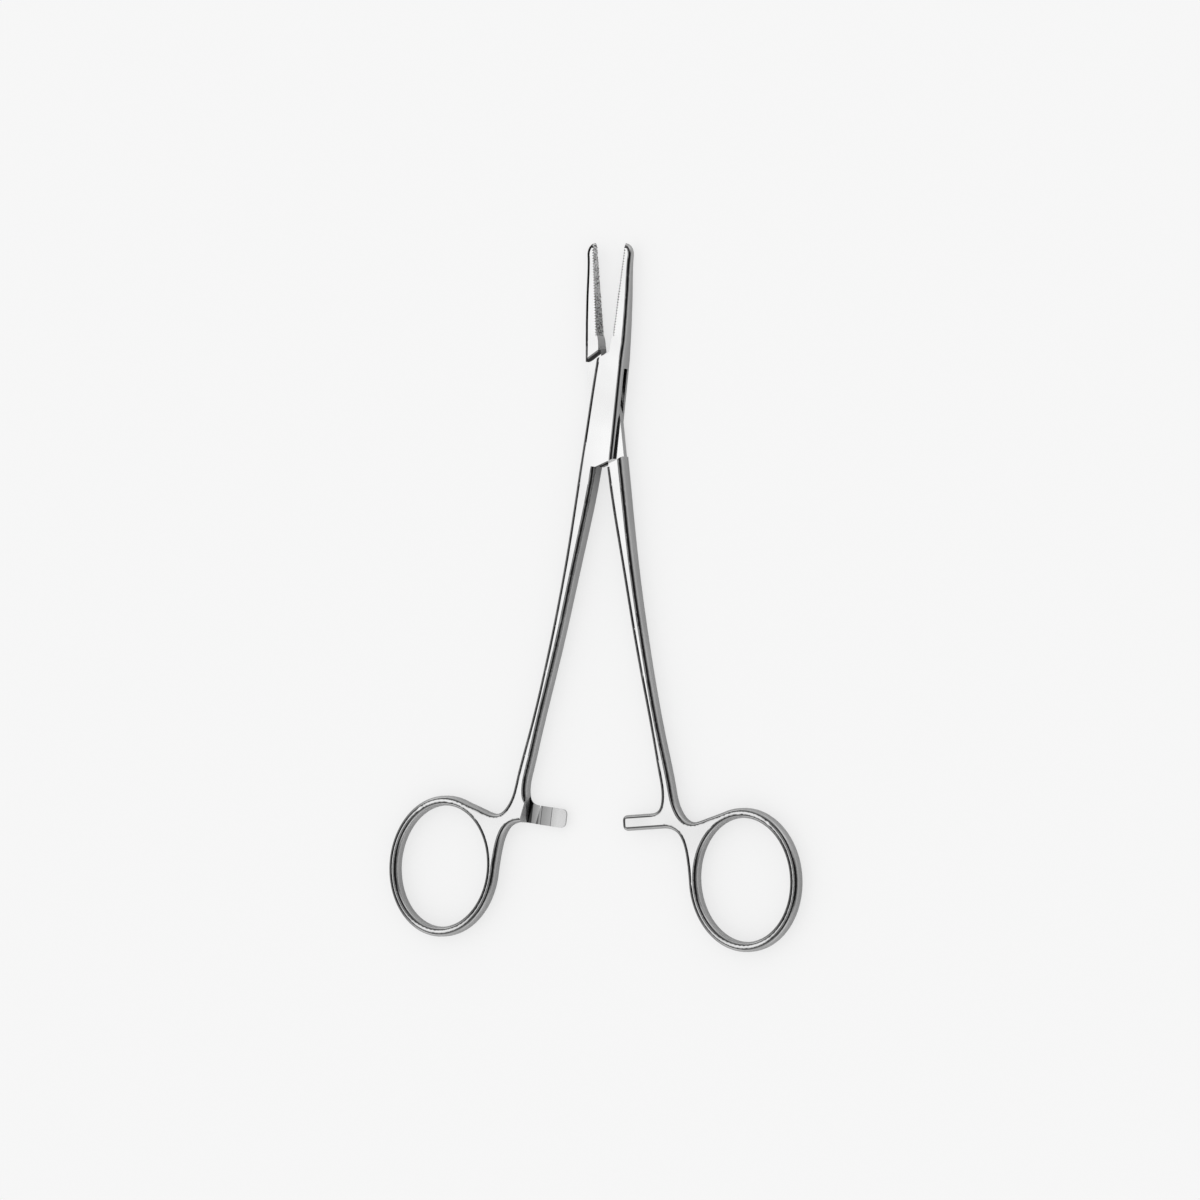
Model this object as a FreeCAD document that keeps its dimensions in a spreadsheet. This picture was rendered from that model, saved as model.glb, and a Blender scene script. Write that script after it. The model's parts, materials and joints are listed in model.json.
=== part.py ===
import FreeCAD, Part
import Sketcher
import math
import os

# Needle holder: two forged arms that cross in a box lock, and the pin that they turn on.
# Each arm is drawn in its closed position, pivot at the origin, jaws towards +Y, and is
# then swung open about the pivot by half of the opening angle.

os.makedirs("parts", exist_ok=True)
doc = FreeCAD.newDocument("needle_holder")
V = FreeCAD.Vector

SIZES = [
    ("open_angle", 11.6, "angle between the arms at rest, degrees"),
    ("box_half_thick", 2.7, "half thickness of the box lock"),
    ("tongue_half_thick", 0.95, "half thickness of the tongue in the slot"),
    ("slot_gap", 0.05, "clearance between tongue and slot, each side"),
    ("tongue_reach", 11.5, "radius of the tongue ends about the pivot"),
    ("reach_gap", 0.2, "clearance past the tongue ends"),
    ("shoulder_reach", 14.6, "box end, measured along the arm at the centre line"),
    ("shoulder_gap", 0.25, "clearance between the shoulders when closed"),
    ("shoulder_angle", 30.0, "slope of the shoulders, degrees"),
    ("split_gap", 0.06, "half of the gap between the jaw roots when closed"),
    ("pin_radius", 1.6, "pivot pin"),
    ("pin_play", 0.05, "radial running clearance of the pin in the tongue"),
    ("edge_radius", 1.2, "rounding of the shank, ring and bar edges"),
    ("jaw_edge_radius", 1.0, "rounding of the outer edges of the jaws"),
    ("jaw_length", 42.6, "pivot to jaw tip"),
    ("jaw_tip_half_thick", 1.12, "half thickness of the jaw at the tip"),
    ("jaw_root_half_thick", 2.26, "half thickness of the jaw at its root"),
    ("jaw_tip_width", 2.3, "width of one jaw just behind the tip"),
    ("grip_start", 19.0, "pivot to the near end of the serrations"),
    ("grip_relief", 0.25, "set-back of the grip face at its near end"),
    ("grip_touch", 0.02, "set-back of the grip face at the tip"),
    ("serration_pitch", 0.7, "spacing of the serrations along the jaw"),
    ("serration_depth", 0.2, "depth of the serrations"),
    ("serration_land", 0.05, "flat left on each serration crest"),
    ("shank_neck_half_thick", 2.05, "half thickness of the shank at its thinnest"),
    ("ring_half_thick", 2.0, "half thickness of the finger rings"),
    ("ring_x", 30.15, "ring centre, sideways from the arm axis"),
    ("ring_y", 121.3, "ring centre, below the pivot"),
    ("ring_hole_short", 12.65, "half width of the finger hole"),
    ("ring_hole_long", 15.62, "half length of the finger hole"),
    ("ring_band", 2.5, "width of the ring band"),
    ("bar_reach", 2.2, "how far a ratchet bar passes the centre line"),
    ("lower_bar_width", 4.8, "width of the ratchet bar with its teeth upwards"),
    ("upper_bar_width", 4.0, "width of the ratchet bar with its teeth downwards"),
    ("bar_foot", 107.0, "pivot to the far edge of the bars"),
    ("tooth_pitch", 2.85, "ratchet tooth spacing"),
    ("tooth_height", 0.7, "ratchet tooth height"),
    ("tooth_gap", 0.05, "half of the gap between the closed ratchets"),
]
sheet = doc.addObject("Spreadsheet::Sheet", "Sizes")
for row, (alias, value, note) in enumerate(SIZES, start=1):
    sheet.set("A%d" % row, note)
    sheet.set("B%d" % row, str(value))
    sheet.setAlias("B%d" % row, alias)
doc.recompute()


def size(alias):
    return float(getattr(sheet, alias))


def origin_plane(body, role):
    for feature in body.Origin.OriginFeatures:
        if feature.Role == role:
            return feature
    raise ValueError(role)


def new_sketch(body, name, role, offset=None):
    sketch = body.newObject("Sketcher::SketchObject", name)
    sketch.AttachmentSupport = [(origin_plane(body, role), "")]
    sketch.MapMode = "FlatFace"
    if offset is not None:
        sketch.AttachmentOffset = offset
    return sketch


def line(start, end):
    return Part.LineSegment(V(start[0], start[1], 0), V(end[0], end[1], 0))


def polygon(points):
    return [line(points[i], points[(i + 1) % len(points)]) for i in range(len(points))]


def curve(points, first, last):
    """Smooth curve through the points, with the given directions at its ends."""
    spline = Part.BSplineCurve()
    run = [0.0]
    for start, end in zip(points, points[1:]):
        run.append(run[-1] + math.hypot(end[0] - start[0], end[1] - start[1]))
    spline.interpolate(
        Points=[V(x, y, 0) for x, y in points],
        Parameters=run,
        InitialTangent=V(first[0], first[1], 0).normalize(),
        FinalTangent=V(last[0], last[1], 0).normalize(),
        Scale=False,
    )
    return spline


def rounded_path(corners):
    """Straight runs joined by tangent arcs; each corner is (x, y, radius)."""
    pieces = []
    here = V(corners[0][0], corners[0][1], 0)
    for before, corner, after in zip(corners, corners[1:], corners[2:]):
        point = V(corner[0], corner[1], 0)
        back = (V(before[0], before[1], 0) - point).normalize()
        ahead = (V(after[0], after[1], 0) - point).normalize()
        half = back.getAngle(ahead) / 2.0
        reach = corner[2] / math.tan(half)
        centre = point + (back + ahead).normalize() * (corner[2] / math.sin(half))
        start = point + back * reach
        end = point + ahead * reach
        middle = centre + (point - centre).normalize() * corner[2]
        pieces.append(Part.LineSegment(here, start))
        pieces.append(Part.Arc(start, middle, end))
        here = end
    pieces.append(Part.LineSegment(here, V(corners[-1][0], corners[-1][1], 0)))
    return pieces


def ellipse_point(centre, short, long, angle):
    return (centre[0] + short * math.cos(angle), centre[1] + long * math.sin(angle))


def ellipse_tangent(short, long, angle):
    return (-short * math.sin(angle), long * math.cos(angle))


def arm_outline(side, bar_width):
    """Plan outline of an arm: shank on the side given by its sign, jaw on the other."""
    flip = lambda p: (p[0] * side, p[1])
    root = size("split_gap")
    box_top = 17.0
    reach = size("shoulder_reach")
    centre = (size("ring_x"), -size("ring_y"))
    short = size("ring_hole_short") + size("ring_band")
    long = size("ring_hole_long") + size("ring_band")
    leave = math.radians(105.0)
    rejoin = math.radians(180.0)
    foot = -size("bar_foot")
    head = foot + bar_width
    tip = -size("bar_reach")
    jaw_tip = size("jaw_length")
    tip_round = 3.0

    outer = [(3.55, 12.0), (3.95, 3.0), (4.2, -5.0), (4.6, -15.0), (5.63, -38.7), (7.56, -62.0),
             (10.5, -85.3), (12.2, -96.5), (13.3, -102.2), (16.1, -105.75), (21.1, -105.2)]
    outer.append(ellipse_point(centre, short, long, leave))
    inner = [(7.7, head + 0.55), (8.8, head + 2.9), (8.6, -93.5), (7.64, -85.3),
             (4.62, -62.0), (2.17, -38.7), (root, -reach)]
    web = [ellipse_point(centre, short, long, rejoin), (14.75, -115.1), (14.05, -111.0),
           (12.35, foot - 1.1), (8.9, foot)]
    jaw = [(-4.0, 12.0), (-3.88, 17.2), (-3.5, 24.0), (-2.85, 32.0),
           (-size("jaw_tip_width"), jaw_tip - tip_round)]

    pieces = []

    def add_line(start, end):
        pieces.append(line(flip(start), flip(end)))

    def add_curve(points, first, last):
        pieces.append(curve([flip(p) for p in points], flip(first), flip(last)))

    # shank side of the box, down the shank and round the crotch to the ring
    add_line((3.3, box_top), outer[0])
    away = ellipse_tangent(short, long, leave)
    add_curve(outer, (0.25, -5.0), (-away[0], -away[1]))
    # ring, clockwise from the crotch to the near side
    start = ellipse_point(centre, short, long, leave)
    end = ellipse_point(centre, short, long, rejoin)
    far = ellipse_point(centre, short, long, math.radians(-45.0))
    long_end = V(centre[0] * side, centre[1] + long, 0)
    short_end = V((centre[0] + short) * side, centre[1], 0)
    oval = Part.Ellipse(long_end, short_end, V(centre[0] * side, centre[1], 0))
    first = oval.parameter(V(start[0] * side, start[1], 0))
    last = oval.parameter(V(end[0] * side, end[1], 0))
    middle = oval.parameter(V(far[0] * side, far[1], 0))
    spans = [(first, last), (last, first)]
    for low, high in spans:
        top = high if high > low else high + 2.0 * math.pi
        inside = middle if middle > low else middle + 2.0 * math.pi
        if low < inside < top:
            pieces.append(Part.ArcOfEllipse(oval, low, top))
            break
    # web below the bar, then the bar
    add_curve(web, (0.0, 1.0), (-1.0, 0.0))
    corner = 1.3
    bar = [(8.9, foot, 0), (tip, foot, corner), (tip, head, corner), (5.7, head, 0)]
    pieces.extend(rounded_path([(x * side, y, r) for x, y, r in bar]))
    # fillet into the shank and up its inner edge
    add_curve([(5.7, head)] + inner, (1.0, 0.0), (-0.04, 1.0))
    # end of the box on the far side, then the jaw
    add_line((root, -reach), (-4.55, -reach))
    add_line((-4.55, -reach), (-4.0, 12.0))
    add_curve(jaw, (0.55, 26.6), (0.0, 1.0))
    tip_centre = V(-size("grip_touch") * side, jaw_tip - tip_round, 0)
    tip_width = size("jaw_tip_width") - size("grip_touch")
    nose = Part.Ellipse(
        V(tip_centre.x, jaw_tip, 0), V(tip_centre.x - tip_width * side, tip_centre.y, 0), tip_centre
    )
    nose_from = nose.parameter(V(-size("jaw_tip_width") * side, jaw_tip - tip_round, 0))
    nose_to = nose.parameter(V(tip_centre.x, jaw_tip, 0))
    if nose_to - nose_from > math.pi:
        nose_to -= 2.0 * math.pi
    if nose_from - nose_to > math.pi:
        nose_to += 2.0 * math.pi
    pieces.append(Part.ArcOfEllipse(nose, min(nose_from, nose_to), max(nose_from, nose_to)))
    grip = (-size("grip_relief"), size("grip_start"))
    add_line((-size("grip_touch"), jaw_tip), grip)
    add_line(grip, (-root, grip[1] - 1.3))
    add_line((-root, grip[1] - 1.3), (-root, box_top))
    add_line((-root, box_top), (3.3, box_top))
    return pieces


def thickness_sketch(body):
    """Everything above and below the arm, seen from the side: two closed regions."""
    tip = size("jaw_tip_half_thick")
    root = size("jaw_root_half_thick")
    box = size("box_half_thick")
    neck = size("shank_neck_half_thick")
    ring = size("ring_half_thick")
    slope = (root - tip) / 25.0
    upper = [(48.0, tip - 6.0 * slope, 0), (17.5, root, 6.0), (13.4, box, 6.0), (-14.0, box, 900.0),
             (-62.0, neck + 0.1, 1500.0), (-90.0, neck, 200.0), (-107.5, ring, 60.0),
             (-145.0, ring, 0)]
    sketch = new_sketch(body, "Thickness", "YZ_Plane")
    sides = []
    for sign in (1.0, -1.0):
        path = [(x, y * sign, r) for x, y, r in upper]
        sides.extend(rounded_path(path))
        sides.append(line((-145.0, ring * sign), (-145.0, 5.0 * sign)))
        sides.append(line((-145.0, 5.0 * sign), (48.0, 5.0 * sign)))
        sides.append(line((48.0, 5.0 * sign), (48.0, (tip - 6.0 * slope) * sign)))
    sketch.addGeometry(sides, False)
    return sketch


def pad_both_ways(body, name, sketch, length):
    pad = body.newObject("PartDesign::Pad", name)
    pad.Profile = sketch
    pad.Length = length
    pad.Midplane = True
    sketch.Visibility = False
    return pad


def pocket_both_ways(body, name, sketch, length):
    before = body.Shape.Volume
    pocket = body.newObject("PartDesign::Pocket", name)
    pocket.Profile = sketch
    pocket.Length = length
    pocket.Midplane = True
    doc.recompute()
    if pocket.Shape.isNull() or not body.Shape.Volume < before - 0.01:
        raise RuntimeError(name + " removes nothing")
    return pocket


def rounded_edges(shape, side, on_jaw):
    """Names of the edges between the flats and the walls, but for the grip and box ends."""
    names = []
    for number, edge in enumerate(shape.Edges, start=1):
        middle = edge.valueAt((edge.FirstParameter + edge.LastParameter) / 2.0)
        normals = []
        for face in shape.ancestorsOfType(edge, Part.Face):
            u, v = face.Surface.parameter(middle)
            normals.append(face.normalAt(u, v))
        walls = [normal for normal in normals if abs(normal.z) < 0.1]
        if len(walls) != 1 or len(normals) != 2:
            continue
        across = middle.x * side
        end_wall = abs(walls[0].y) > 0.99 and across < 4.5
        if end_wall and (middle.y > 16.9 or abs(middle.y + size("shoulder_reach")) < 0.05):
            continue
        if middle.y > 14.0 and -0.3 < across < 0.0 and abs(walls[0].x) > 0.9:
            continue
        if (across < -1.0 and middle.y > -15.0) == on_jaw:
            names.append("Edge%d" % number)
    return names


def arm_blank(name, side, bar_width):
    body = doc.addObject("PartDesign::Body", name + "_forging")
    outline = new_sketch(body, "Outline", "XY_Plane")
    outline.addGeometry(arm_outline(side, bar_width), False)
    pad_both_ways(body, "Forging", outline, 8.0)
    hole = new_sketch(body, "FingerHole", "XY_Plane")
    centre = V(size("ring_x") * side, -size("ring_y"), 0)
    hole.addGeometry(
        Part.Ellipse(
            centre + V(0, size("ring_hole_long"), 0), centre + V(size("ring_hole_short"), 0, 0), centre
        ),
        False,
    )
    doc.recompute()
    pocket_both_ways(body, "FingerOpening", hole, 12.0)
    pocket_both_ways(body, "SideProfile", thickness_sketch(body), 120.0)
    for feature, on_jaw, radius in (
        ("ShankEdges", False, "edge_radius"),
        ("JawEdges", True, "jaw_edge_radius"),
    ):
        blank = body.Tip
        before = blank.Shape.Volume
        rounding = body.newObject("PartDesign::Fillet", feature)
        rounding.Base = (blank, rounded_edges(blank.Shape, side, on_jaw))
        rounding.setExpression("Radius", "Sizes." + radius)
        doc.recompute()
        if rounding.Shape.isNull() or not rounding.Shape.Volume < before - 20.0:
            raise RuntimeError(name + " edges are not rounded")
    return body


def plan_pocket(body, name, pieces, length):
    sketch = new_sketch(body, name + "Plan", "XY_Plane")
    sketch.addGeometry(pieces, False)
    doc.recompute()
    pocket = pocket_both_ways(body, name, sketch, length)
    return pocket


def pin_hole(body, expression):
    sketch = new_sketch(body, "PinPlan", "XY_Plane")
    sketch.addGeometry(Part.Circle(V(0, 0, 0), V(0, 0, 1), size("pin_radius")), False)
    sketch.addConstraint(Sketcher.Constraint("Coincident", 0, 3, -1, 1))
    bore = sketch.addConstraint(Sketcher.Constraint("Radius", 0, size("pin_radius")))
    sketch.renameConstraint(bore, "bore")
    sketch.setExpression("Constraints.bore", expression)
    doc.recompute()
    pocket_both_ways(body, "PinHole", sketch, 12.0)


def cut_box(body):
    """Box lock of the female arm: sloped ends and the slot through its middle."""
    slope = math.tan(math.radians(size("shoulder_angle")))
    reach = size("shoulder_reach")
    root = size("split_gap")
    far = 8.0
    top = rounded_path([(-far, reach - slope * far, 0), (root, reach + slope * root, 0.8),
                        (root, 20.0, 0)])
    top.append(line((root, 20.0), (-far, 20.0)))
    top.append(line((-far, 20.0), (-far, reach - slope * far)))
    plan_pocket(body, "UpperShoulder", top, 12.0)
    plan_pocket(body, "LowerShoulder", polygon([
        (-root, -reach - slope * root),
        (far, -reach + slope * far),
        (far, -reach - 0.3),
        (-root, -reach - 0.3),
    ]), 12.0)
    radius = size("tongue_reach") + size("reach_gap")
    near = math.sqrt(radius ** 2 - root ** 2)
    slot = [
        line((root, 20.0), (root, near)),
        Part.Arc(V(root, near, 0), V(radius * 0.6, radius * 0.8, 0), V(radius, 0, 0)),
        line((radius, 0.0), (radius, -20.0)),
        line((radius, -20.0), (-root, -20.0)),
        line((-root, -20.0), (-root, -near)),
        Part.Arc(V(-root, -near, 0), V(-radius * 0.6, -radius * 0.8, 0), V(-radius, 0, 0)),
        line((-radius, 0.0), (-radius, 20.0)),
        line((-radius, 20.0), (root, 20.0)),
    ]
    plan_pocket(body, "Slot", slot, 2.0 * (size("tongue_half_thick") + size("slot_gap")))
    body.Tip.setExpression("Length", "2 * (Sizes.tongue_half_thick + Sizes.slot_gap)")
    pin_hole(body, "Sizes.pin_radius")


def cut_tongue(body):
    """Tongue of the male arm: thinned between its shoulders and rounded at its free corners."""
    slope = math.tan(math.radians(size("shoulder_angle")))
    reach = size("shoulder_reach") + size("shoulder_gap")
    root = size("split_gap")
    radius = size("tongue_reach")
    near = math.sqrt(radius ** 2 - root ** 2)
    for sign, name in ((1.0, "UpperCorner"), (-1.0, "LowerCorner")):
        plan_pocket(body, name, [
            line((-root * sign, 20.0 * sign), (-root * sign, near * sign)),
            Part.Arc(V(-root * sign, near * sign, 0), V(radius * 0.6 * sign, radius * 0.8 * sign, 0),
                     V(radius * sign, 0, 0)),
            line((radius * sign, 0.0), (20.0 * sign, 0.0)),
            line((20.0 * sign, 0.0), (20.0 * sign, 20.0 * sign)),
            line((20.0 * sign, 20.0 * sign), (-root * sign, 20.0 * sign)),
        ], 12.0)
    far = 8.0
    strip = [
        (-far, reach - slope * far),
        (far, reach + slope * far),
        (far, -reach + slope * far),
        (-far, -reach - slope * far),
    ]
    for sign, name in ((1.0, "FrontCheek"), (-1.0, "BackCheek")):
        offset = FreeCAD.Placement(V(0, 0, sign * size("tongue_half_thick")), FreeCAD.Rotation())
        sketch = new_sketch(body, name + "Plan", "XY_Plane", offset)
        sketch.addGeometry(polygon(strip), False)
        doc.recompute()
        before = body.Shape.Volume
        pocket = body.newObject("PartDesign::Pocket", name)
        pocket.Profile = sketch
        pocket.Length = 4.0
        pocket.Reversed = sign > 0
        sketch.setExpression("AttachmentOffset.Base.z", "Sizes.tongue_half_thick * %d" % sign)
        doc.recompute()
        if not body.Shape.Volume < before - 10.0:
            raise RuntimeError(name + " points away from the arm")
    pin_hole(body, "Sizes.pin_radius + Sizes.pin_play")


def cut_ratchet(body, side, facing):
    """Teeth on one face of the bar, and the ramp from the web down to them."""
    crest = -size("tooth_gap")
    floor = crest - size("tooth_height")
    pitch = size("tooth_pitch")
    heel = 7.5
    run = [(8.6, floor), (heel, floor)]
    for tooth in range(2):
        run.append((heel - pitch * tooth, crest))
        run.append((heel - pitch * (tooth + 1), floor))
    # the last tooth slopes off to the end of the bar
    last_crest = heel - pitch * 2
    bar_end = -size("bar_reach") - 1.0
    run.append((last_crest, crest))
    run.append((bar_end, crest - size("tooth_height") * (last_crest - bar_end) / (2.0 * pitch)))
    run.append((bar_end, 5.0))
    run.append((8.6, 5.0))
    turned = [(x * side, z * facing) for x, z in run]
    middle = (size("bar_foot") + 98.0) / 2.0 + 1.0
    offset = FreeCAD.Placement(V(0, 0, middle), FreeCAD.Rotation())
    sketch = new_sketch(body, "TeethProfile", "XZ_Plane", offset)
    sketch.addGeometry(polygon(turned), False)
    doc.recompute()
    pocket_both_ways(body, "Teeth", sketch, 12.0)
    # the ramp leans with the web
    lean = FreeCAD.Rotation(V(0, 1, 0), 9.6 * side)
    offset = FreeCAD.Placement(V(9.5 * side, 0, 103.4), lean)
    ramp = [(0.95, 5.0), (-1.7, floor), (-4.0, floor), (-4.0, 5.0)]
    sketch = new_sketch(body, "RampProfile", "XZ_Plane", offset)
    sketch.addGeometry(polygon([(x * side, z * facing) for x, z in ramp]), False)
    doc.recompute()
    pocket_both_ways(body, "Ramp", sketch, 11.0)


def serration_cutters(name, side):
    """Two crossing combs of V grooves, kept to the gripping length of the jaw."""
    near = V(-size("grip_relief") * side, size("grip_start"), 0)
    end = V(-size("grip_touch") * side, size("jaw_length"), 0)
    along = (end - near).normalize()
    outward = V(along.y * side, -along.x * side, 0)
    middle = (near + end) * 0.5
    step = size("serration_pitch") / math.sqrt(2.0)
    land = size("serration_land")
    count = int(22.0 / step)
    profile = [(-11.0, 1.0)]
    for groove in range(count):
        start = -11.0 + groove * step
        profile.append((start, -0.01))
        profile.append((start + land, -0.01))
        profile.append((start + (land + step) / 2.0, -size("serration_depth")))
    profile.append((-11.0 + count * step, -0.01))
    profile.append((-11.0 + count * step, 1.0))
    cutters = []
    for lean in (1, -1):
        across = (along + V(0, 0, lean)).normalize()
        third = across.cross(outward)
        frame = FreeCAD.Matrix(
            across.x, outward.x, third.x, middle.x,
            across.y, outward.y, third.y, middle.y,
            across.z, outward.z, third.z, middle.z,
            0, 0, 0, 1,
        )
        tag = name + ("_rising" if lean > 0 else "_falling")
        comb = doc.addObject("Sketcher::SketchObject", tag + "_comb")
        comb.Placement = FreeCAD.Placement(frame)
        comb.addGeometry(polygon(profile), False)
        sweep = doc.addObject("Part::Extrusion", tag + "_grooves")
        sweep.Base = comb
        sweep.DirMode = "Normal"
        sweep.LengthFwd = 12.0
        sweep.LengthRev = 12.0
        sweep.Solid = True
        limit = doc.addObject("Part::Box", tag + "_limit")
        limit.Length = 2.0
        limit.Width = 25.0
        limit.Height = 6.0
        limit.Placement = FreeCAD.Placement(V(-1.0, size("grip_start"), -3.0), FreeCAD.Rotation())
        both = doc.addObject("Part::Common", tag + "_cutter")
        both.Base = sweep
        both.Tool = limit
        cutters.append(both)
    return cutters


def serrated(name, body, side, placement):
    """The arm with both combs cut into its jaw, in its place in the instrument."""
    rising, falling = serration_cutters(name, side)
    ridged = doc.addObject("Part::Cut", name + "_ridged")
    ridged.Base = body
    ridged.Tool = rising
    crossed = doc.addObject("Part::Cut", name)
    crossed.Base = ridged
    crossed.Tool = falling
    crossed.Placement = placement
    doc.recompute()
    return crossed


BOX_SIDE = -1
TONGUE_SIDE = 1

box_forging = arm_blank("box_arm", BOX_SIDE, size("lower_bar_width"))
cut_box(box_forging)
cut_ratchet(box_forging, BOX_SIDE, 1)
tongue_forging = arm_blank("tongue_arm", TONGUE_SIDE, size("upper_bar_width"))
cut_tongue(tongue_forging)
cut_ratchet(tongue_forging, TONGUE_SIDE, -1)

# open the arms, and put the underside's centre at the origin
box_swing = FreeCAD.Rotation(V(0, 0, 1), -size("open_angle") / 2.0)
tongue_swing = FreeCAD.Rotation(V(0, 0, 1), size("open_angle") / 2.0)
whole = FreeCAD.BoundBox()
for forging, swing in ((box_forging, box_swing), (tongue_forging, tongue_swing)):
    swung = forging.Shape.transformed(FreeCAD.Placement(V(0, 0, 0), swing).toMatrix())
    whole.add(swung.optimalBoundingBox(False))
pivot = V(-whole.Center.x, -whole.Center.y, -whole.ZMin)

box_arm = serrated("box_arm", box_forging, BOX_SIDE, FreeCAD.Placement(pivot, box_swing))
tongue_arm = serrated("tongue_arm", tongue_forging, TONGUE_SIDE, FreeCAD.Placement(pivot, tongue_swing))

pin = doc.addObject("PartDesign::Body", "pivot_pin")
pin_plan = new_sketch(pin, "PinSection", "XY_Plane")
pin_plan.addGeometry(Part.Circle(V(0, 0, 0), V(0, 0, 1), size("pin_radius")), False)
pin_plan.addConstraint(Sketcher.Constraint("Coincident", 0, 3, -1, 1))
pin_size = pin_plan.addConstraint(Sketcher.Constraint("Radius", 0, size("pin_radius")))
pin_plan.renameConstraint(pin_size, "pin")
pin_plan.setExpression("Constraints.pin", "Sizes.pin_radius")
pin_pad = pad_both_ways(pin, "Pin", pin_plan, 2.0 * size("box_half_thick"))
pin_pad.setExpression("Length", "2 * Sizes.box_half_thick")
pin.Placement = FreeCAD.Placement(pivot, FreeCAD.Rotation())
doc.recompute()

for item in doc.Objects:
    if "Invalid" in item.State or "Error" in item.State:
        raise RuntimeError("%s failed: %s" % (item.Name, item.State))
for node, piece in (("box_arm", box_arm), ("tongue_arm", tongue_arm), ("pivot_pin", pin)):
    piece.Label = node
    if piece.Shape.isNull() or not piece.Shape.isValid():
        raise RuntimeError(node + " has no valid shape")
    if len(piece.Shape.Solids) != 1:
        raise RuntimeError("%s is %d solids" % (node, len(piece.Shape.Solids)))
    piece.Shape.exportStep("parts/%s.step" % node)
    print(node, round(piece.Shape.Volume, 1), piece.Shape.BoundBox)
print("pivot at", pivot)
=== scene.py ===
import json
import math

import bpy
from mathutils import Matrix, Vector

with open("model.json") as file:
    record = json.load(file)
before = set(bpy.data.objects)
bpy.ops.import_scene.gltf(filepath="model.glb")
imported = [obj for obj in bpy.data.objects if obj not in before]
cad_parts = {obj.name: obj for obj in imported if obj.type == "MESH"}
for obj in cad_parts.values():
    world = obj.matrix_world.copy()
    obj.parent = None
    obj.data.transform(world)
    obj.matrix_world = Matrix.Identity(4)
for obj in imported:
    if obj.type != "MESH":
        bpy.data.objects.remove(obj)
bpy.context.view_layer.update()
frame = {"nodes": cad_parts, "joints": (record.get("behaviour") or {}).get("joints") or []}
nodes = frame["nodes"]
PIVOT = Vector(frame["joints"][0]["pos_m"])

# Angle between the arms at rest; each is turned from +Y about the pivot by half of it
OPEN_ANGLE = 11.6
HALF_OPEN = math.radians(OPEN_ANGLE / 2.0)

# Places on an arm, in metres from the pivot along the arm's own axes, and sizes there
JAW_TIP = 0.0426
JAW_TIP_TOP = 0.00112
JAW_RISE = 0.0456
JAW_START = 0.0165
GRIP_START = 0.019
GRIP_RELIEF = 0.00025
HEEL_START = 0.0157
HEEL_HALF_WIDTH = 0.0006
NOTCH_PITCH = 0.0007
NOTCH_MEAN = 0.0003
NOTCH_SWING = 0.00024
SHOULDER_REACH = 0.01485
SHOULDER_SLOPE = math.tan(math.radians(30.0))
SHOULDER_BREAK = 0.0005
TONGUE_TOP = 0.00095
RAMP_ACROSS = (-0.0112, -0.0072)
RAMP_ALONG = (-0.1076, -0.101)
BARS_START = -0.09
BAR_SPAN = 0.01
WEB_SPAN = 0.2
TEETH_TOP = 0.0001
# How far a finish reaches beyond the surface that it belongs to
GRIP_MARGIN = 0.00042
TOP_MARGIN = 0.00005
SHOULDER_MARGIN = 0.0001

# Tones of the steel, from 0 for black to 1 for white
STEEL_TONE = 0.51
STEEL_TONE_SWING = 0.22
SHADE_TONE = 0.05
# painted highlight: white on the walls of the split between the jaw roots
HEEL_HIGHLIGHT_TONE = 1.0
# painted shade in the notches along a jaw's top edge
NOTCH_SHADE_TONE = 0.04
# painted shade along the tongue arm's shoulder
SHOULDER_SHADE_TONE = 0.15
RAMP_TONE = 0.62
# Tones along the ratchet, by the share of BAR_SPAN from the arm's axis: painted highlights on the tooth
# slopes, painted shade at the steps
TOOTH_LIGHT_AND_SHADE = [
    (0.0, 1.0), (0.165, 0.8),
    (0.17, 0.04), (0.205, 0.04),
    (0.21, 1.0), (0.45, 0.7),
    (0.455, 0.04), (0.49, 0.04),
    (0.495, 0.8), (0.545, 0.7),
    (0.55, 0.3), (0.745, 0.17),
    (0.75, 0.03),
]
# Tones towards the rings, by the share of WEB_SPAN below the pivot: slightly darker towards the rings
WEB_TONES = [(0.4, 1.0), (0.5, 0.94)]
# Share of the shade on a rounding, by the normal's part along X plus 1: 0 faces -X, 1 straight up
SHANK_SHADE = [(0.3, 0.8), (0.75, 0.0)]
JAW_SHADE = [(0.84, 1.0), (0.95, 0.0)]
TONE_SCALE = 60.0
# Painted glints and shade of the serrations on the gripping face
DOT_SCALE = 2400.0
DOT_CONTRAST = 3.0
DOT_OFFSET = -0.75

# Parts of the normal along an axis that tell walls, slopes, roundings and flats apart
SIDEWAYS = 0.3
ROUNDED = 0.25
SLOPING = 0.5
STEEP = 0.55
FLAT = 0.9

# Roughness of the polish with its patches and drawn lines, and of the duller places
POLISH_ROUGHNESS = 0.05
PATCH_ROUGHNESS = 0.08
PATCH_SCALE = 160.0
LINE_ROUGHNESS = 0.05
LINE_SCALE = (6000.0, 260.0, 6000.0)
GRIP_ROUGHNESS = 0.42
RAMP_ROUGHNESS = 0.5
RELIEF_SCALE = 90.0
RELIEF_STRENGTH = 0.3
RELIEF_DEPTH = 0.00011
SHADE_SMOOTH_BELOW = math.radians(28.0)

# The photograph, 1200 pixels square: where the pivot lies in it and how large a pixel is there
PIVOT_PIXEL = (606.3, 410.0)
FRAME_CENTRE_PIXEL = 600.0
FRAME_PIXELS = 1200.0
METRES_PER_PIXEL = 0.000254
CAMERA_YAW = math.radians(25.0)
CAMERA_ROLL = math.radians(1.6)
CAMERA_DISTANCE = 1.8
SENSOR_MM = 36.0

PAPER = 0.935
PAPER_SHADED_IN_MIRROR = 0.62
PAPER_GLOW = 0.72
PAPER_HALF_WIDTH = 3.0

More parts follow.
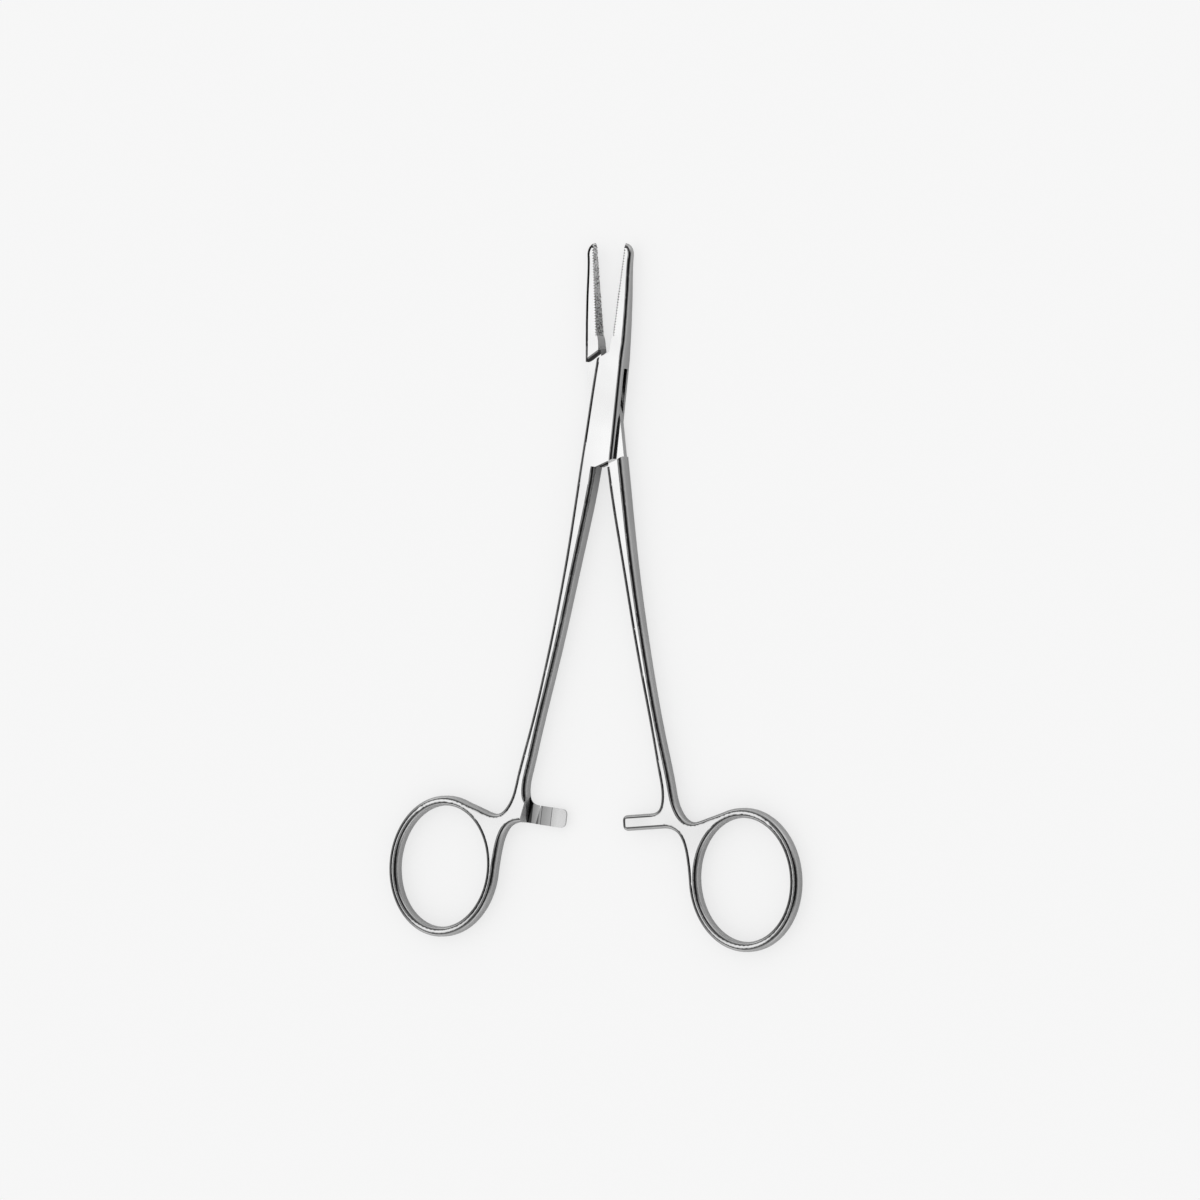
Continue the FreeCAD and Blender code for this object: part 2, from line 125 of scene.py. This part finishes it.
# What the steel mirrors: brightness by the angle from the zenith, in degrees
PANEL_STRENGTH = 1.46
PANEL_ACROSS = [
    (-47.0, 0.0), (-37.0, 0.88), (-27.0, 1.0), (-17.0, 0.94), (-8.0, 0.12),
    (-4.0, 0.1), (0.0, 0.3), (6.0, 0.28), (13.0, 0.0),
]
PANEL_LENGTHWAYS = [(-34.0, 0.0), (-17.0, 1.0), (17.0, 1.0), (34.0, 0.0)]
END_WALLS = [(-72.0, 0.6), (-48.0, 0.2), (-36.0, 0.02), (36.0, 0.02), (48.0, 0.2), (72.0, 0.6)]
SIDE_WALLS = [(-45.0, 0.9), (-28.0, 0.5), (-14.0, 0.0), (14.0, 0.0), (28.0, 0.5), (45.0, 0.9)]
NEAR_FLOOR = [(-78.0, 0.3), (-64.0, 0.0), (60.0, 0.0), (76.0, 0.3)]
# Where the end walls give way to the side walls
TO_SIDE = [(-64.0, 1.0), (-50.0, 0.0), (42.0, 0.0), (56.0, 1.0)]


def new_material(name):
    material = bpy.data.materials.new(name)
    material.use_nodes = True
    material.node_tree.nodes.clear()
    return material


class Graph:
    """Small helper that adds nodes to a tree and links their sockets."""

    def __init__(self, tree):
        self.tree = tree

    def add(self, kind, **settings):
        node = self.tree.nodes.new(kind)
        for key, value in settings.items():
            setattr(node, key, value)
        return node

    def link(self, source, target):
        self.tree.links.new(source, target)

    def math(self, operation, first, second=None, clamp=False):
        node = self.add("ShaderNodeMath", operation=operation, use_clamp=clamp)
        for socket, value in zip(node.inputs, (first, second)):
            if value is None:
                continue
            if isinstance(value, (int, float)):
                socket.default_value = value
            else:
                self.link(value, socket)
        return node.outputs[0]

    def scaled(self, value, factor, offset, clamp=False):
        return self.math("ADD", self.math("MULTIPLY", value, factor), offset, clamp)

    def mix(self, factor, low, high):
        """Blend of two values by a factor."""
        difference = self.math("SUBTRACT", high, low)
        return self.math("ADD", self.math("MULTIPLY", difference, factor), low)

    def above(self, value, limit):
        """1 where the value is over the limit, elsewhere 0."""
        return self.math("GREATER_THAN", value, limit)

    def below(self, value, limit):
        """1 where the value is under the limit, elsewhere 0."""
        return self.math("LESS_THAN", value, limit)

    def between(self, value, low, high):
        return self.all_of(self.above(value, low), self.below(value, high))

    def outside(self, mask):
        return self.math("SUBTRACT", 1.0, mask)

    def all_of(self, *masks):
        """1 where every mask is 1."""
        result = masks[0]
        for mask in masks[1:]:
            result = self.math("MULTIPLY", result, mask)
        return result

    def ramp(self, value, stops):
        """Grey ramp through (position, grey) stops."""
        node = self.add("ShaderNodeValToRGB")
        elements = node.color_ramp.elements
        while len(elements) > 1:
            elements.remove(elements[-1])
        for number, (position, grey) in enumerate(stops):
            element = elements.new(position) if number else elements[0]
            element.position = position
            element.color = (grey, grey, grey, 1.0)
        self.link(value, node.inputs[0])
        return node.outputs[0]

    def noise(self, vector, scale, detail):
        node = self.add("ShaderNodeTexNoise", noise_dimensions="3D")
        node.inputs["Scale"].default_value = scale
        node.inputs["Detail"].default_value = detail
        self.link(vector, node.inputs["Vector"])
        return node.outputs["Fac"]

    def split(self, vector):
        node = self.add("ShaderNodeSeparateXYZ")
        self.link(vector, node.inputs[0])
        return node.outputs

    def grey(self, value):
        node = self.add("ShaderNodeCombineColor")
        for socket in node.inputs:
            self.link(value, socket)
        return node.outputs[0]


def arm_place(graph, turn):
    """The shaded point in an arm's own axes, with the pivot at their origin."""
    place = graph.add("ShaderNodeTexCoord")
    about_pivot = graph.add("ShaderNodeMapping", vector_type="TEXTURE")
    about_pivot.inputs["Location"].default_value = PIVOT
    about_pivot.inputs["Rotation"].default_value = (0.0, 0.0, turn)
    graph.link(place.outputs["Object"], about_pivot.inputs["Vector"])
    return about_pivot.outputs[0]


def grip_masks(graph, across, along, up):
    """The gripping face, and painted shade in the notches that its serrations leave along the jaw's top
    edge.
    """
    from_start = graph.math("DIVIDE", graph.math("SUBTRACT", along, GRIP_START), JAW_TIP - GRIP_START)
    set_back = graph.mix(from_start, GRIP_RELIEF, 0.0)
    depth = graph.math("SUBTRACT", graph.math("ABSOLUTE", across), set_back)
    on_jaw = graph.above(along, GRIP_START)
    rise = graph.math("MULTIPLY", graph.math("SUBTRACT", JAW_TIP, along), JAW_RISE)
    on_top = graph.above(up, graph.math("ADD", rise, JAW_TIP_TOP - TOP_MARGIN))
    grip = graph.all_of(on_jaw, graph.below(depth, GRIP_MARGIN), graph.outside(on_top))
    wave = graph.math("SINE", graph.math("MULTIPLY", along, 2.0 * math.pi / NOTCH_PITCH))
    notch_depth = graph.scaled(wave, NOTCH_SWING, NOTCH_MEAN)
    notch_shade = graph.all_of(on_jaw, graph.below(depth, notch_depth), on_top)
    return grip, notch_shade


def heel_mask(graph, across, along, facing_up):
    """The walls of the split between the jaw roots, from the box to the gripping face, which get a
    duller finish and a painted highlight.
    """
    beside_split = graph.below(graph.math("ABSOLUTE", across), HEEL_HALF_WIDTH)
    return graph.all_of(graph.between(along, HEEL_START, GRIP_START), beside_split,
                        graph.below(facing_up, FLAT))


def shoulder_shade_mask(graph, across, along, up):
    """Painted shade along the sloped shoulder of the tongue arm's jaw: its wall and the edge above it.
    """
    slope = graph.math("MULTIPLY", across, SHOULDER_SLOPE)
    past = graph.math("SUBTRACT", graph.math("SUBTRACT", along, slope), SHOULDER_REACH)
    return graph.all_of(graph.between(past, -SHOULDER_MARGIN, SHOULDER_BREAK),
                        graph.above(up, TONGUE_TOP))


def ramp_mask(graph, across, along, facing):
    """The steep ramp from the box arm's web down to its ratchet teeth."""
    return graph.all_of(graph.above(facing["X"], SIDEWAYS), graph.below(facing["Z"], STEEP),
                        graph.between(across, *RAMP_ACROSS), graph.between(along, *RAMP_ALONG))


def teeth_mask(graph, along, up, facing):
    """Faces of a ratchet bar that look up from below the arm's middle."""
    return graph.all_of(graph.above(facing["Z"], SLOPING), graph.below(up, TEETH_TOP),
                        graph.below(along, BARS_START))


def shaded_mask(graph, along, smooth):
    """Roundings on the shaded side, which stay dark up to the outline, more so on the jaws."""
    lean = graph.math("ADD", smooth["X"], 1.0)
    shaded = graph.mix(graph.above(along, JAW_START),
                       graph.ramp(lean, SHANK_SHADE), graph.ramp(lean, JAW_SHADE))
    return graph.math("MULTIPLY", shaded, graph.above(smooth["Z"], ROUNDED))


def hand_polish(graph, on_arm):
    """Roughness of the polish: patches that are a little less glossy, and fine drawn lines."""
    drawn = graph.add("ShaderNodeMapping")
    drawn.inputs["Scale"].default_value = LINE_SCALE
    graph.link(on_arm, drawn.inputs["Vector"])
    patches = graph.math("MULTIPLY", graph.noise(on_arm, PATCH_SCALE, detail=3.0), PATCH_ROUGHNESS)
    lines = graph.math("MULTIPLY", graph.noise(drawn.outputs[0], 1.0, detail=2.0), LINE_ROUGHNESS)
    return graph.math("ADD", graph.math("ADD", patches, lines), POLISH_ROUGHNESS)


def polished_steel(name, turn, is_tongue):
    """Polished stainless steel, with an arm's matt grip and ramp in its own axes, and painted light and
    shade on its jaws, shoulder and ratchet.
    """
    material = new_material(name)
    graph = Graph(material.node_tree)
    output = graph.add("ShaderNodeOutputMaterial")
    shader = graph.add("ShaderNodeBsdfPrincipled")
    shader.inputs["Metallic"].default_value = 1.0
    graph.link(shader.outputs[0], output.inputs["Surface"])

    on_arm = arm_place(graph, turn)
    across, along, up = graph.split(on_arm)
    surface = graph.add("ShaderNodeNewGeometry")
    facing = graph.split(surface.outputs["True Normal"])
    smooth = graph.split(surface.outputs["Normal"])

    grip, notch_shade = grip_masks(graph, across, along, up)
    heel = heel_mask(graph, across, along, facing["Z"])
    shoulder_shade = shoulder_shade_mask(graph, across, along, up) if is_tongue else 0.0
    ramp = 0.0 if is_tongue else ramp_mask(graph, across, along, facing)

    gloss = graph.mix(graph.math("MAXIMUM", ramp, heel), hand_polish(graph, on_arm), RAMP_ROUGHNESS)
    graph.link(graph.mix(grip, gloss, GRIP_ROUGHNESS), shader.inputs["Roughness"])

    tone = graph.scaled(graph.noise(on_arm, TONE_SCALE, detail=2.0), STEEL_TONE_SWING, STEEL_TONE)
    web = graph.ramp(graph.math("MULTIPLY", along, -1.0 / WEB_SPAN), WEB_TONES)
    tone = graph.math("MULTIPLY", tone, web)
    tone = graph.mix(shaded_mask(graph, along, smooth), tone, SHADE_TONE)
    # painted glints and shade: light and dark dots that bring out the serrations
    serration_glints_and_shade = graph.scaled(graph.noise(on_arm, DOT_SCALE, detail=0.0), DOT_CONTRAST, DOT_OFFSET, clamp=True)
    tone = graph.mix(grip, tone, serration_glints_and_shade)
    # painted highlight on the walls of the split between the jaw roots
    tone = graph.mix(heel, tone, HEEL_HIGHLIGHT_TONE)
    # painted shade in the notches along the jaw's top edge
    tone = graph.mix(notch_shade, tone, NOTCH_SHADE_TONE)
    # painted shade along the tongue arm's shoulder
    tone = graph.mix(shoulder_shade, tone, SHOULDER_SHADE_TONE)
    # painted highlights on the tooth slopes and painted shade at their steps
    tooth_light_and_shade = graph.ramp(graph.math("DIVIDE", across, -BAR_SPAN), TOOTH_LIGHT_AND_SHADE)
    tone = graph.mix(teeth_mask(graph, along, up, facing), tone, tooth_light_and_shade)
    tone = graph.mix(ramp, tone, RAMP_TONE)
    graph.link(graph.grey(tone), shader.inputs["Base Color"])

    relief = graph.add("ShaderNodeBump")
    relief.inputs["Strength"].default_value = RELIEF_STRENGTH
    relief.inputs["Distance"].default_value = RELIEF_DEPTH
    graph.link(graph.noise(on_arm, RELIEF_SCALE, detail=1.0), relief.inputs["Height"])
    graph.link(relief.outputs[0], shader.inputs["Normal"])
    return material


def dress(node, material):
    """Gives a CAD node its finish, with smooth roundings and flats that stay flat."""
    thing = nodes[node]
    thing.data.materials.clear()
    thing.data.materials.append(material)
    thing.data.shade_smooth()
    bpy.context.view_layer.objects.active = thing
    thing.select_set(True)
    bpy.ops.object.shade_smooth_by_angle(angle=SHADE_SMOOTH_BELOW)
    thing.select_set(False)
    flats = thing.modifiers.new("flats", "WEIGHTED_NORMAL")
    flats.keep_sharp = True


def pale_paper():
    """Matt paper that glows a little to the camera, with painted shade that makes it darker in the
    steel.
    """
    material = new_material("pale_paper")
    graph = Graph(material.node_tree)
    output = graph.add("ShaderNodeOutputMaterial")
    shader = graph.add("ShaderNodeBsdfDiffuse")
    paths = graph.add("ShaderNodeLightPath")
    # painted shade: the paper is darker where the steel mirrors it
    tone = graph.mix(paths.outputs["Is Glossy Ray"], PAPER, PAPER_SHADED_IN_MIRROR)
    graph.link(graph.grey(tone), shader.inputs["Color"])
    glow = graph.add("ShaderNodeEmission")
    glow.inputs["Color"].default_value = (PAPER, PAPER, PAPER, 1.0)
    seen = graph.add("ShaderNodeMixShader")
    graph.link(graph.math("MULTIPLY", paths.outputs["Is Camera Ray"], PAPER_GLOW), seen.inputs[0])
    graph.link(shader.outputs[0], seen.inputs[1])
    graph.link(glow.outputs[0], seen.inputs[2])
    graph.link(seen.outputs[0], output.inputs["Surface"])
    return material


def floor():
    """Pale paper that the instrument lies on."""
    half = PAPER_HALF_WIDTH
    corners = [(-half, -half, 0.0), (half, -half, 0.0), (half, half, 0.0), (-half, half, 0.0)]
    mesh = bpy.data.meshes.new("paper")
    mesh.from_pydata(corners, [], [(0, 1, 2, 3)])
    mesh.materials.append(pale_paper())
    thing = bpy.data.objects.new("paper", mesh)
    bpy.context.scene.collection.objects.link(thing)


def by_angle(graph, share, full_turn, stops):
    """Grey ramp over an angle that is given as a share of a turn, its stops in degrees."""
    return graph.ramp(share, [(degrees / full_turn + 0.5, grey) for degrees, grey in stops])


def studio():
    """Even soft light for the paper; steel mirrors one bright panel between dark walls."""
    world = bpy.data.worlds.new("studio")
    bpy.context.scene.world = world
    world.use_nodes = True
    world.node_tree.nodes.clear()
    graph = Graph(world.node_tree)
    output = graph.add("ShaderNodeOutputWorld")
    background = graph.add("ShaderNodeBackground")
    background.inputs["Color"].default_value = (1.0, 1.0, 1.0, 1.0)
    graph.link(background.outputs[0], output.inputs["Surface"])
    place = graph.add("ShaderNodeTexCoord")
    x, y, z = graph.split(place.outputs["Generated"])
    # angle from the zenith towards +X as a share of a turn, and towards +Y as one of half a turn
    across = graph.scaled(graph.math("ARCTAN2", x, z), 1.0 / (2.0 * math.pi), 0.5)
    lengthways = graph.scaled(graph.math("ARCSINE", y), 1.0 / math.pi, 0.5)
    panel = graph.math("MULTIPLY", by_angle(graph, across, 360.0, PANEL_ACROSS),
                       by_angle(graph, lengthways, 180.0, PANEL_LENGTHWAYS))
    end_walls = by_angle(graph, lengthways, 180.0, END_WALLS)
    side_walls = graph.math("MAXIMUM", by_angle(graph, lengthways, 180.0, SIDE_WALLS),
                            by_angle(graph, across, 360.0, NEAR_FLOOR))
    walls = graph.mix(by_angle(graph, across, 360.0, TO_SIDE), end_walls, side_walls)
    mirrored = graph.mix(panel, walls, PANEL_STRENGTH)
    paths = graph.add("ShaderNodeLightPath")
    strength = graph.mix(paths.outputs["Is Diffuse Ray"], mirrored, 1.0)
    strength = graph.mix(paths.outputs["Is Camera Ray"], strength, PAPER)
    graph.link(strength, background.inputs["Strength"])


def camera():
    """Square view down on the instrument, from the photograph's side, at its roll and scale."""
    sideways = Vector((math.cos(CAMERA_YAW), 0.0, -math.sin(CAMERA_YAW)))
    lengthways = Vector((0.0, 1.0, 0.0))
    towards = Vector((math.sin(CAMERA_YAW), 0.0, math.cos(CAMERA_YAW)))
    right = sideways * math.cos(CAMERA_ROLL) + lengthways * math.sin(CAMERA_ROLL)
    up = lengthways * math.cos(CAMERA_ROLL) - sideways * math.sin(CAMERA_ROLL)
    centre = PIVOT - right * ((PIVOT_PIXEL[0] - FRAME_CENTRE_PIXEL) * METRES_PER_PIXEL)
    centre -= up * ((FRAME_CENTRE_PIXEL - PIVOT_PIXEL[1]) * METRES_PER_PIXEL)
    eye = centre + towards * CAMERA_DISTANCE
    lens = bpy.data.cameras.new("camera")
    lens.sensor_width = SENSOR_MM
    lens.lens = SENSOR_MM * CAMERA_DISTANCE / (FRAME_PIXELS * METRES_PER_PIXEL)
    lens.clip_end = 20.0
    holder = bpy.data.objects.new("camera", lens)
    holder.matrix_world = Matrix((
        (right.x, up.x, towards.x, eye.x),
        (right.y, up.y, towards.y, eye.y),
        (right.z, up.z, towards.z, eye.z),
        (0.0, 0.0, 0.0, 1.0),
    ))
    bpy.context.scene.collection.objects.link(holder)
    bpy.context.scene.camera = holder


dress("box_arm", polished_steel("box_arm_steel", -HALF_OPEN, is_tongue=False))
dress("tongue_arm", polished_steel("tongue_arm_steel", HALF_OPEN, is_tongue=True))
dress("pivot_pin", polished_steel("pin_steel", -HALF_OPEN, is_tongue=False))
floor()
studio()
camera()
bpy.context.scene.view_settings.view_transform = "Standard"
